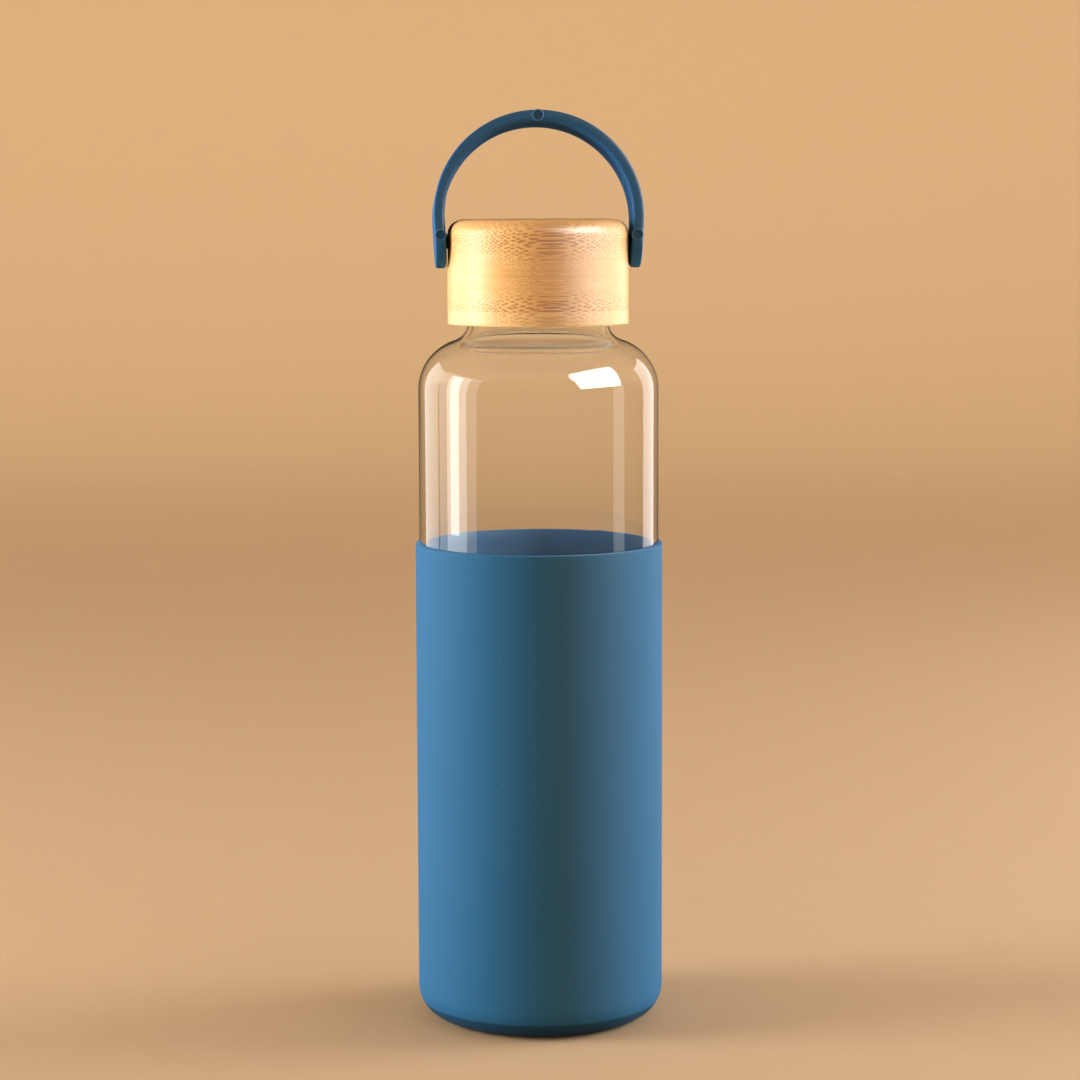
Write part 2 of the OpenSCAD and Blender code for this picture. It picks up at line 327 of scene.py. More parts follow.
@dataclass(frozen=True)
class Thread:
    """A screw thread that winds up round the Z axis and runs out at both ends."""

    root: float
    crest: float
    root_width: float
    crest_width: float
    height: float
    start: float
    end: float
    pitch: float = 4 * MM
    step: float = 7.5
    run_out: float = 36.0

    def share(self, angle: float) -> float:
        """Share of its full section that the thread has at an angle."""
        rise = min(angle - self.start, self.end - angle) / self.run_out
        return max(0.12, min(1.0, rise))

    def build(self, name: str) -> bpy.types.Object:
        """Winds the thread's section up round the axis.

        Args:
            name: Name of the object.

        Returns:
            The closed thread.
        """
        clear_selection()
        bpy.ops.mesh.primitive_plane_add(size=1, location=(0, 0, 0), rotation=(math.pi / 2, 0, 0))
        piece = name_new(name)
        depth = self.crest - self.root
        root = Vector((self.root, 0, 0))
        with editing():
            bpy.ops.mesh.select_all(action="SELECT")
            bpy.ops.transform.resize(value=(abs(depth), 1, self.root_width))
            bpy.ops.transform.translate(value=(self.root + depth / 2, 0, 0))
            sign = math.copysign(1, depth)
            choose("verts", lambda v: sign * (v.co.x - self.root) > abs(depth) / 2)
            bpy.ops.transform.resize(value=(1, 1, self.crest_width / self.root_width))
            bpy.ops.mesh.select_all(action="SELECT")
            last = self.share(self.start)
            stretch(Vector((last, 1, last)), root)
            bpy.ops.transform.translate(value=(0, 0, self.height + self.pitch * self.start / 360))
            swing(math.radians(self.start), Axis.Z, Vector())
            count = round((self.end - self.start) / self.step)
            for i in range(1, count + 1):
                angle = self.start + self.step * i
                turned = math.radians(angle)
                lengthen(Vector((0, 0, self.pitch * self.step / 360)))
                swing(math.radians(self.step), Axis.Z, Vector())
                factor = self.share(angle) / last
                last = self.share(angle)
                if abs(factor - 1) > 1e-9:
                    foot = Vector((math.cos(turned), math.sin(turned), 0)) * self.root
                    foot.z = self.height + self.pitch * angle / 360
                    stretch(Vector((factor, factor, factor)), foot)
        clean(piece)
        return piece


# ------------------------------------------------------------------------------------------ shading


class Wire:
    """One output of a shader node, on which sums add Math nodes."""

    def __init__(self, desk: "Desk", socket: bpy.types.NodeSocket) -> None:
        """Keeps the socket and the desk that adds its nodes."""
        self.desk = desk
        self.socket = socket

    def maths(self, operation: str, *values: "Value") -> "Wire":
        """Adds one Math node.

        Args:
            operation: What it does.
            values: Its inputs, in order.

        Returns:
            Its output.
        """
        return self.desk.add("ShaderNodeMath", {"operation": operation}, dict(enumerate(values)))

    def __add__(self, other: "Value") -> "Wire":
        """This plus other."""
        return self.maths("ADD", self, other)

    def __radd__(self, other: "Value") -> "Wire":
        """Other plus this."""
        return self.maths("ADD", other, self)

    def __sub__(self, other: "Value") -> "Wire":
        """This minus other."""
        return self.maths("SUBTRACT", self, other)

    def __rsub__(self, other: "Value") -> "Wire":
        """Other minus this."""
        return self.maths("SUBTRACT", other, self)

    def __mul__(self, other: "Value") -> "Wire":
        """This times other."""
        return self.maths("MULTIPLY", self, other)

    def __rmul__(self, other: "Value") -> "Wire":
        """Other times this."""
        return self.maths("MULTIPLY", other, self)

    def __truediv__(self, other: "Value") -> "Wire":
        """This divided by other."""
        return self.maths("DIVIDE", self, other)

    def __abs__(self) -> "Wire":
        """This without its sign."""
        return self.maths("ABSOLUTE", self)

    def ping_pong(self, span: float) -> "Wire":
        """This, folded to and fro between 0 and a span."""
        return self.maths("PINGPONG", self, span)

    def between(self, low: "Value", high: "Value") -> "Wire":
        """A soft step.

        Args:
            low: Where it is 0.
            high: Where it is 1. It may be less than low.

        Returns:
            The step, from 0 to 1.
        """
        return self.desk.add(
            "ShaderNodeMapRange",
            {"interpolation_type": "SMOOTHSTEP"},
            {"Value": self, "From Min": low, "From Max": high},
        )


Value = Union[Wire, Setting]


class Desk:
    """Adds nodes to one material."""

    def __init__(self, name: str) -> None:
        """Starts a material with an empty node tree."""
        self.material = bpy.data.materials.new(name)
        self.material.use_nodes = True
        self.tree = self.material.node_tree
        self.tree.nodes.clear()

    def add(
        self,
        kind: str,
        settings: Mapping[str, Any],
        inputs: Mapping[Union[str, int], Value],
        output: Union[str, int] = 0,
    ) -> Wire:
        """Adds a node.

        Args:
            kind: Its type.
            settings: Its settings, which are set first. "stops" are a colour ramp's positions and colours.
            inputs: Values or wires of its sockets, by name or number.
            output: The output that is wanted.

        Returns:
            That output.
        """
        node = self.tree.nodes.new(kind)
        for key, value in settings.items():
            if key == "stops":
                ramp = node.color_ramp
                for index, (place, colour) in enumerate(value):
                    stop = ramp.elements[index] if index < 2 else ramp.elements.new(place)
                    stop.position, stop.color = place, (*colour, 1)
            else:
                setattr(node, key, value)
        for key, value in inputs.items():
            socket = self.find(node, key)
            if isinstance(value, Wire):
                self.tree.links.new(value.socket, socket)
            elif socket.type == "RGBA" and len(value) == 3:
                socket.default_value = (*value, 1)
            else:
                socket.default_value = value
        outputs = [s for s in node.outputs if s.enabled]
        chosen = outputs[output] if isinstance(output, int) else next(s for s in outputs if s.name == output)
        return Wire(self, chosen)

    @staticmethod
    def find(node: bpy.types.Node, key: Union[str, int]) -> bpy.types.NodeSocket:
        """The input of a node that has this name or number, among those in use."""
        if isinstance(key, int):
            return node.inputs[key]
        return next(s for s in node.inputs if s.enabled and s.name == key)

    def place(self, scale: Sequence[float] = (1, 1, 1), turned: float = 0.0) -> Wire:
        """Object coordinates in millimetres.

        Args:
            scale: Factor along each axis, after the turn.
            turned: Turn about the Z axis, in degrees.

        Returns:
            The coordinates.
        """
        place = self.add("ShaderNodeTexCoord", {}, {}, "Object")
        around = self.add(
            "ShaderNodeMapping",
            {},
            {"Vector": place, "Rotation": (0, 0, math.radians(turned))},
        )
        return self.add("ShaderNodeVectorMath", {"operation": "MULTIPLY"}, {0: around, 1: [s / MM for s in scale]})

    def parts(self, vector: Wire) -> tuple[Wire, Wire, Wire]:
        """The three numbers of a vector."""
        return tuple(self.add("ShaderNodeSeparateXYZ", {}, {"Vector": vector}, n) for n in "XYZ")

    def noise(self, vector: Wire, scale: float, detail: float = 2.0, roughness: float = 0.5) -> Wire:
        """Noise from 0 to 1.

        Args:
            vector: Where it is read.
            scale: Lumps in a unit of the vector.
            detail: Number of finer layers.
            roughness: Strength of the finer layers.

        Returns:
            The noise.
        """
        return self.add(
            "ShaderNodeTexNoise",
            {},
            {"Vector": vector, "Scale": scale, "Detail": detail, "Roughness": roughness},
        )

    def mix(self, share: Value, first: Value, second: Value) -> Wire:
        """Two colours mixed.

        Args:
            share: Share of the second colour.
            first: The first colour.
            second: The second colour.

        Returns:
            The mixed colour.
        """
        return self.add("ShaderNodeMix", {"data_type": "RGBA"}, {"Factor": share, "A": first, "B": second})

    def bump(self, height: Wire, depth: float, strength: float = 1.0) -> Wire:
        """A normal that is bent by a height.

        Args:
            height: The height, from 0 to 1.
            depth: Depth that 1 stands for, in metres.
            strength: Strength of the effect.

        Returns:
            The normal.
        """
        return self.add(
            "ShaderNodeBump", {}, {"Height": height, "Distance": depth, "Strength": strength}, "Normal"
        )

    def finish(self, shader: Wire) -> bpy.types.Material:
        """Sends a shader to the material's output and gives the material."""
        self.add_output(shader)
        return self.material

    def add_output(self, shader: Wire) -> None:
        """Adds the output node."""
        node = self.tree.nodes.new("ShaderNodeOutputMaterial")
        self.tree.links.new(shader.socket, node.inputs["Surface"])

    def surface(self, **inputs: Value) -> Wire:
        """A Principled shader, whose sockets are named with _ for a space."""
        named = {key.replace("_", " "): value for key, value in inputs.items()}
        return self.add("ShaderNodeBsdfPrincipled", {}, named)


@dataclass(frozen=True)
class ClearGlass:
    """Blown borosilicate glass that lets the lamps through."""

    colour: Colour = (0.985, 0.995, 0.99)
    refraction: float = 1.474
    ripple: float = 0.02 * MM

    def material(self, name: str) -> bpy.types.Material:
        """The finish as a material.

        Args:
            name: The material's name.

        Returns:
            The material.
        """
        desk = Desk(name)
        streaks = desk.noise(desk.place((1, 1, 0.12)), 0.09, 1.5, 0.4)
        normal = desk.bump(streaks, self.ripple * 10, 0.35)
        glass = desk.surface(
            Base_Color=self.colour,
            Roughness=0.0,
            IOR=self.refraction,
            Transmission_Weight=1.0,
            Normal=normal,
        )
        clear = desk.add("ShaderNodeBsdfTransparent", {}, {"Color": (0.94, 0.95, 0.945)})
        shadow = desk.add("ShaderNodeLightPath", {}, {}, "Is Shadow Ray")
        return desk.finish(desk.add("ShaderNodeMixShader", {}, {0: shadow, 1: glass, 2: clear}))


@dataclass(frozen=True)
class MouldedRubber:
    """Silicone with a dull skin, faint flow marks, a little dust and, inside a given radius, painted shade on its
    inner face.
    """

    colour: Colour
    worn: Colour
    roughness: float = 0.6
    sheen: float = 0.025
    grain: float = 0.012 * MM
    # radius inside which the inner face is darkened as painted shade; 0 for none
    shaded_inner_radius: float = 0.0

    def material(self, name: str) -> bpy.types.Material:
        """The finish as a material.

        Args:
            name: The material's name.

        Returns:
            The material.
        """
        desk = Desk(name)
        place = desk.place()
        clouds = desk.noise(desk.place((1, 1, 0.35)), 0.05, 3, 0.55)
        skin = desk.noise(place, 3.2, 3, 0.6)
        dust = desk.noise(place, 1.3, 2, 0.5).between(0.72, 0.8)
        colour = desk.mix(clouds.between(0.3, 0.75) * 0.5, self.colour, self.worn)
        colour = desk.mix(dust * 0.12, colour, (0.75, 0.8, 0.84))
        # painted shade: the inner face, inside the given radius, is painted darker to stand in for shade
        if self.shaded_inner_radius:
            level = desk.add("ShaderNodeVectorMath", {"operation": "MULTIPLY"}, {0: place, 1: (1, 1, 0)})
            radius = desk.add("ShaderNodeVectorMath", {"operation": "LENGTH"}, {0: level}, "Value")
            inner_shade = radius.between(self.shaded_inner_radius + 0.12, self.shaded_inner_radius + 0.05)
            colour = desk.mix(inner_shade * 0.75, colour, tuple(c * 0.3 for c in self.colour))
        return desk.finish(
            desk.surface(
                Base_Color=colour,
                Roughness=self.roughness + clouds * 0.1 - skin * 0.05,
                Normal=desk.bump(skin, self.grain, 0.6),
                Specular_IOR_Level=0.16,
                Sheen_Weight=self.sheen,
                Sheen_Roughness=0.45,
            )
        )


@dataclass(frozen=True)
class Bamboo:
    """Laminated bamboo: layers of cane whose bundles of vessels run along X."""

    layer: float = 9.2
    dense_height: float = 194.1
    lean: float = -5.0
    pale: Colour = (0.78, 0.495, 0.20)
    honey: Colour = (0.69, 0.395, 0.105)
    vessel: Colour = (0.34, 0.135, 0.026)

    def material(self, name: str) -> bpy.types.Material:
        """The finish as a material.

        Args:
            name: The material's name.

        Returns:
            The material.
        """
        desk = Desk(name)
        place = desk.place(turned=self.lean)
        along, across, height = desk.parts(place)
        fibre = desk.place((0.012, 1, 1), self.lean)
        slow = desk.place((0.02, 0.12, 1), self.lean)
        wander = desk.noise(slow, 0.35, 2, 0.5)
        level = height + (wander - 0.5) * 0.5
        # 1 where a layer's vessels are wide and dark, 0 at the fine side of the layer
        coarse = 1 - (level - self.dense_height).ping_pong(self.layer) / self.layer
        drift = desk.noise(desk.place((0.05, 0.3, 0.3), self.lean), 0.5, 1, 0.5)
        section = desk.add("ShaderNodeCombineXYZ", {}, {"X": across + drift * 1.5, "Y": level, "Z": 0.0})
        wide = self.vessels(desk, section, 1.38, coarse * 0.14 + 0.17)
        fine = self.vessels(desk, section, 2.7, 0.30 - coarse * 0.05)
        grain = desk.noise(fibre, 3.1, 4, 0.7)
        band = desk.noise(slow, 1.1, 3, 0.6)
        seam = abs((level - self.dense_height).ping_pong(self.layer / 2) - 0).between(0.22, 0.02)
        pale_layer = height.between(self.dense_height, self.dense_height - 0.15)
        colour = desk.mix(band.between(0.25, 0.75), self.honey, self.pale)
        colour = desk.mix(grain.between(0.35, 0.8) * 0.35, colour, (0.83, 0.62, 0.36))
        strength = coarse.between(0.1, 0.9)
        colour = desk.mix(wide * (strength * 0.7 + 0.06), colour, self.vessel)
        colour = desk.mix(fine * (0.4 - strength * 0.3), colour, self.vessel)
        colour = desk.mix(pale_layer * 0.4, colour, (0.80, 0.58, 0.28))
        colour = desk.mix(seam * 0.25, colour, (0.40, 0.20, 0.07))
        relief = grain * 0.5 - wide * strength * 0.6 - fine * 0.25
        return desk.finish(
            desk.surface(
                Base_Color=colour,
                Roughness=0.40 + grain * 0.16 + wide * 0.08,
                Normal=desk.bump(relief, 0.05 * MM, 0.8),
                Specular_IOR_Level=0.5,
                Coat_Weight=0.5,
                Coat_Roughness=0.33,
            )
        )

    def vessels(self, desk: Desk, section: Wire, count: float, radius: Value) -> Wire:
        """Ends of the bundles of vessels, in staggered rows.

        Args:
            desk: The desk of the material.
            section: Coordinates across the cane.
            count: Bundles in a millimetre.
            radius: Radius of a bundle, as a share of the spacing.

        Returns:
            1 inside a bundle and 0 outside.
        """
        staggered = desk.add(
            "ShaderNodeMapping",
            {},
            {"Vector": section, "Rotation": (0, 0, math.radians(45)), "Scale": (count, count, count)},
        )
        cells = desk.add(
            "ShaderNodeTexVoronoi",
            {"voronoi_dimensions": "2D", "feature": "F1"},
            {"Vector": staggered, "Scale": 1.0, "Randomness": 0.5},
            "Distance",
        )
        return (cells - radius).between(0.12, -0.04)


@dataclass(frozen=True)
class MouldedPlastic:
    """Moulded plastic with a fine spark-eroded skin and faint flow marks; at any ejector marks it is given, a painted
    highlight on the rim and painted shade in the sunk disc.
    """

    colour: Colour
    second: Colour
    roughness: float = 0.42
    grain: float = 0.015 * MM
    shine: float = 0.5
    # middles of ejector marks: each rim gets a painted highlight and each sunk disc painted shade
    marks: tuple[tuple[float, float, float], ...] = ()
    mark_edge: tuple[float, float] = (1.2, 1.62)

    def material(self, name: str) -> bpy.types.Material:
        """The finish as a material.

        Args:
            name: The material's name.

        Returns:
            The material.
        """
        desk = Desk(name)
        place = desk.place()
        flow = desk.noise(desk.place((0.5, 1, 1)), 0.16, 3, 0.6)
        skin = desk.noise(place, 5.0, 3, 0.6)
        rub = desk.noise(place, 0.7, 4, 0.7).between(0.62, 0.75)
        colour = desk.mix(flow.between(0.25, 0.75), self.colour, self.second)
        inner, outer = self.mark_edge
        for mark in self.marks:
            away = desk.add("ShaderNodeVectorMath", {"operation": "DISTANCE"}, {0: place, 1: mark}, "Value")
            # painted highlight: the mark's raised rim is painted lighter, standing in for light caught by its chamfer
            ring = away.between(inner, inner + 0.1) * away.between(outer + 0.1, outer - 0.1)
            colour = desk.mix(ring * 0.45, colour, tuple(c * 2.2 + 0.02 for c in self.colour))
            # painted shade: the sunk disc inside the rim is painted darker
            colour = desk.mix(away.between(inner, inner - 0.08) * 0.55, colour, tuple(c * 0.45 for c in self.colour))
        return desk.finish(
            desk.surface(
                Base_Color=colour,
                Roughness=self.roughness + flow * 0.08 - rub * 0.07,
                Normal=desk.bump(skin, self.grain, 0.7),
                Specular_IOR_Level=self.shine,
            )
        )


@dataclass(frozen=True)
class BlackedSteel:
    """Black oxide on turned steel, worn a little on its edges."""

    colour: Colour = (0.018, 0.018, 0.02)
    bare: Colour = (0.30, 0.29, 0.28)

    def material(self, name: str) -> bpy.types.Material:
        """The finish as a material.

        Args:
            name: The material's name.

        Returns:
            The material.
        """
        desk = Desk(name)
        place = desk.place()
        rings = desk.noise(desk.place((6, 0.6, 0.6)), 1.2, 2, 0.6)
        wear = desk.noise(place, 1.6, 4, 0.7).between(0.66, 0.78)
        return desk.finish(
            desk.surface(
                Base_Color=desk.mix(wear * 0.35, self.colour, self.bare),
                Metallic=wear * 0.4 + 0.45,
                Roughness=0.36 + rings * 0.12,
                Normal=desk.bump(rings, 0.01 * MM, 0.5),
            )
        )


@dataclass(frozen=True)
class StudioPaper:
    """Pale matt paper under and round the bottle."""

    colour: Colour = (0.42, 0.295, 0.165)
    glow: Colour = (0.40, 0.28, 0.155)

    def material(self, name: str) -> bpy.types.Material:
        """The finish as a material.

        Args:
            name: The material's name.

        Returns:
            The material.
        """
        desk = Desk(name)
        place = desk.place()
        pulp = desk.noise(place, 0.06, 5, 0.6)
        tooth = desk.noise(place, 0.9, 3, 0.6)
        colour = desk.mix(pulp.between(0.2, 0.8) * 0.3, self.colour, tuple(c * 0.93 for c in self.colour))
        away = desk.add("ShaderNodeVectorMath", {"operation": "LENGTH"}, {0: place}, "Value")
        glow = desk.mix(away.between(200, 2600), (0.0, 0.0, 0.0), self.glow)
        return desk.finish(
            desk.surface(
                Base_Color=colour,
                Roughness=0.85,
                Normal=desk.bump(tooth, 0.08 * MM, 0.3),
                Emission_Color=glow,
                Emission_Strength=1.0,
            )
        )


class Finishes:
    """Every material of the object, made once."""

    def __init__(self) -> None:
        """Makes the materials."""
        self.glass = ClearGlass().material("clear_borosilicate")
        # the sleeve's inner face gets painted shade inside a radius of 32.55 mm
        self.sleeve = MouldedRubber((0.013, 0.097, 0.215), (0.017, 0.107, 0.232), shaded_inner_radius=32.55).material(
            "blue_silicone_skin"
        )
        self.gasket = MouldedRubber((0.80, 0.80, 0.77), (0.74, 0.74, 0.71), 0.5, 0.0).material("white_silicone_skin")
        self.bamboo = Bamboo().material("varnished_bamboo")
        self.liner = MouldedPlastic((0.80, 0.80, 0.77), (0.74, 0.74, 0.70), 0.35).material("white_liner_plastic")
        self.plate = MouldedPlastic((0.012, 0.012, 0.013), (0.02, 0.02, 0.021), 0.38).material("black_plate_plastic")
        self.pin = BlackedSteel().material("black_pin_steel")
        self.handle = MouldedPlastic(
            (0.011, 0.088, 0.24), (0.014, 0.098, 0.255), 0.4, shine=0.19, marks=BailHandle().mark_places()
        ).material("blue_handle_plastic")


def install(
    piece: bpy.types.Object, finish: bpy.types.Material, body: Body, node: str
) -> bpy.types.Object:
    """Dresses a finished piece and ties it to the frame.

    Args:
        piece: The finished piece.
        finish: Its material.
        body: The body that it rides on.
        node: The CAD node that it stands for.

    Returns:
        The piece.
    """
    piece.data.materials.clear()
    piece.data.materials.append(finish)
    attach(piece, body.value)
    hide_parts(node)
    triangles = sum(len(p.vertices) - 2 for p in piece.data.polygons)
    LOG.info("%s rides on %s, %d triangles", piece.name, body.value, triangles)
    return piece


# ------------------------------------------------------------------------------------ sub-assemblies


@dataclass
class GlassBottle:
    """The blown glass: one wall from the hollow under the floor to the fire-polished rim."""

    wall: float = 1.8 * MM
    floor: float = 4 * MM
    punt: float = 2 * MM
    foot: float = 21.1 * MM
    heel: float = 7.4 * MM
    shoulder: float = 14 * MM
    neck: float = 19 * MM
    fillet: float = 5 * MM
    neck_height: float = 19.3 * MM
    thread_height: float = 1.2 * MM
    span: Span = field(default_factory=lambda: Span.of("glass_body"))

    def outline(self) -> list[Point]:
        """Section of the wall, from the middle of the punt round to the middle of the floor inside."""
        low, rim, radius = self.span.low.z, self.span.high.z, self.span.radius
        bowl = (self.foot**2 + self.punt**2) / (2 * self.punt)
        bowl_angle = math.degrees(math.asin(self.foot / bowl))
        heel = (radius - self.heel, low + self.heel)
        shoulder = (radius - self.shoulder, rim - self.neck_height - self.shoulder)
        across = self.neck + self.fillet - shoulder[0]
        reach = self.shoulder + self.fillet
        fillet = (self.neck + self.fillet, shoulder[1] + math.sqrt(reach**2 - across**2))
        meet = math.degrees(math.atan2(fillet[1] - shoulder[1], across))
        lip = (self.neck - self.wall / 2, rim - self.wall / 2)
        inner_heel = self.heel - self.wall
        under = arc((0, low + self.punt - bowl), bowl, 90, 90 - bowl_angle, 8)[1:]
        side = [(radius, low + z * MM) for z in (20, 40, 60, 80, 100, 120, 140, 155)]
        within = [(radius - self.wall, z) for _, z in reversed(side)]
        return (
            under
            + arc(heel, self.heel, -90, 0, 14)
            + side
            + arc(shoulder, self.shoulder, 0, meet, 20)
            + arc(fillet, self.fillet, 180 + meet, 180, 8)[1:]
            + arc(lip, self.wall / 2, 0, 180, 10)
            + arc(fillet, self.fillet + self.wall, 180, 180 + meet, 8)
            + arc(shoulder, self.shoulder - self.wall, meet, 0, 18)[1:]
            + within
            + arc((heel[0], low + self.floor + inner_heel), inner_heel, 0, -90, 12)
            + [(12 * MM, low + self.floor), (2 * MM, low + self.floor)]
        )

    def build(self, finishes: Finishes) -> None:
        """Turns the wall, winds the thread on its neck and dresses it."""
        glass = turn("Glass_bottle", self.outline())
        thread = Thread(
            root=self.neck - 0.3 * MM,
            crest=self.neck + self.thread_height,
            root_width=2.6 * MM,
            crest_width=0.9 * MM,
            height=self.span.high.z - 8.2 * MM,
            start=0,
            end=450,
        ).build("Neck_thread")
        combine(glass, thread, "UNION")
        smooth(glass, 40)
        install(glass, finishes.glass, Body.BOTTLE, "glass_body")


@dataclass
class Sleeve:
    """The silicone cup that is stretched over the glass."""

    wall: float = 1 * MM
    fit: float = 0.05 * MM
    heel: float = 7.4 * MM
    base: float = 1.6 * MM
    foot: float = 21.1 * MM
    recess: float = 0.5 * MM
    lip: float = 0.4 * MM
    sides: int = 256
    nicks: tuple[tuple[float, float], ...] = (
        (-124, 0.30),
        (-121.5, 0.16),
        (-117, -0.14),
        (-113.5, 0.26),
        (-96, -0.06),
        (-71, 0.09),
        (-60, -0.07),
        (23, 0.12),
        (52, 0.30),
        (54.2, 0.18),
        (61, -0.10),
        (118, 0.08),
        (164, -0.09),
    )
    span: Span = field(default_factory=lambda: Span.of("silicone_sleeve"))

    def outline(self) -> list[Point]:
        """Section of the cup, from the middle underneath to the middle inside."""
        low, top, radius = self.span.low.z, self.span.high.z, self.span.radius
        heel = self.heel + self.fit + self.wall
        inside = radius - self.wall
        centre = (radius - heel, low + heel)
        steps = [low + z * MM for z in (20, 40, 60, 80, 100, 115, 124, 128)]
        return (
            [(1.5 * MM, low + self.recess), (12 * MM, low + self.recess), (self.foot - self.recess, low + self.recess)]
            + arc((self.foot, low + 0.15 * MM), 0.15 * MM, 180, 270, 4)
            + arc(centre, heel, -90, 0, 16)
            + [(radius, z) for z in steps]
            + arc((radius - self.lip, top - self.lip), self.lip, 0, 90, 8)
            + [(inside + 0.12 * MM, top), (inside, top - 0.12 * MM)]
            + [(inside, z) for z in reversed(steps)]
            + arc((inside - self.heel - self.fit, low + self.base + self.heel), self.heel + self.fit, 0, -84, 14)
            + [(20 * MM, low + self.base), (1.5 * MM, low + self.base)]
        )

    def build(self, finishes: Finishes) -> None:
        """Turns the cup, leaves its rim slightly uneven and dresses it."""
        sleeve = turn("Silicone_sleeve", self.outline(), sides=self.sides)
        self.roughen_rim(sleeve)
        smooth(sleeve, 50)
        install(sleeve, finishes.sleeve, Body.BOTTLE, "silicone_sleeve")


    def roughen_rim(self, sleeve: bpy.types.Object) -> None:
        """Leaves the small flakes and nicks of a trimmed mould line on the rim."""
        top = self.span.high.z
        activate(sleeve)
        with editing():
            for degrees, rise in self.nicks:
                ahead = Vector((math.cos(math.radians(degrees)), math.sin(math.radians(degrees)), 0))
                choose(
                    "verts",
                    lambda v: v.co.z > top - 0.1 * MM
                    and Vector((v.co.x, v.co.y, 0)).normalized().dot(ahead) > math.cos(math.pi / self.sides * 1.01),
                )
                bpy.ops.transform.translate(value=(0, 0, rise * MM))


@dataclass
class Seal:
    """The soft ring between the glass rim and the ceiling of the liner."""

    edge: float = 0.3 * MM
    bore: float = 16.9 * MM
    span: Span = field(default_factory=lambda: Span.of("seal_gasket"))

    def build(self, finishes: Finishes) -> None:
        """Turns the ring, with the faint groove that the rim has pressed in it, and dresses it."""
        low, top, radius = self.span.low.z, self.span.high.z, self.span.radius
        groove = [
            (18.9 * MM, low),
            (18.5 * MM, low + 0.06 * MM),
            (18.1 * MM, low + 0.08 * MM),
            (17.7 * MM, low + 0.06 * MM),
        ]
        outline = (
            groove[::-1]
            + arc((radius - self.edge, low + self.edge), self.edge, -90, 0, 5)
            + arc((radius - self.edge, top - self.edge), self.edge, 0, 90, 5)
            + arc((self.bore + self.edge, top - self.edge), self.edge, 90, 180, 5)
            + arc((self.bore + self.edge, low + self.edge), self.edge, 180, 270, 5)
        )
        gasket = turn("Seal_gasket", outline, ring=True, sides=128)
        smooth(gasket, 60)
        install(gasket, finishes.gasket, Body.SEAL, "seal_gasket")


@dataclass
class PlateShape:
    """The strip that is let into the cap: a round lower end, up the side and hooked over the top."""

    width: float = 10.4 * MM
    drop: float = 1.2 * MM
    edge: float = 4 * MM
    hook: float = 1 * MM
    pivot: float = 212.25 * MM
    cap: Span = field(default_factory=lambda: Span.of("bamboo_cap"))

    def sheet(self, name: str, depth: float, grow: float) -> bpy.types.Object:
        """The strip on the right side of the cap, as a surface without thickness.

        Args:
            name: Name of the object.
            depth: Depth below the widest part of the cap.
            grow: Growth of the outline on every side.

        Returns:
            The open sheet.
        """
        clear_selection()
        x = self.cap.radius - depth
        base = self.pivot - self.drop
        corner = Vector((self.cap.radius - self.edge, 0, self.cap.high.z - self.edge))
        bpy.ops.mesh.primitive_circle_add(
            vertices=64,
            radius=self.width / 2 + grow,
            location=(x, 0, base),
            rotation=(0, math.pi / 2, 0),
            fill_type="NGON",
        )
        piece = name_new(name)
        clean(piece)
        with editing():
            bpy.ops.mesh.select_all(action="SELECT")
            bpy.ops.mesh.bisect(plane_co=(x, 0, base), plane_no=(0, 0, 1), clear_outer=True)
            choose("edges", lambda e: middle(e).z > base - 1e-6)
            lengthen(Vector((0, 0, corner.z - base)))
            steps = 12
            for _ in range(steps):
                lengthen(Vector((0, 0, 0)))
                swing(-math.pi / 2 / steps, Axis.Y, corner)
            lengthen(Vector((-self.hook - grow, 0, 0)))
            bpy.ops.mesh.select_all(action="SELECT")
            bpy.ops.mesh.normals_make_consistent(inside=False)
            if choose("faces", lambda f: abs(f.normal.x) > 0.9 and f.normal.x < 0):
                bpy.ops.mesh.select_all(action="SELECT")
                bpy.ops.mesh.flip_normals()
        return piece


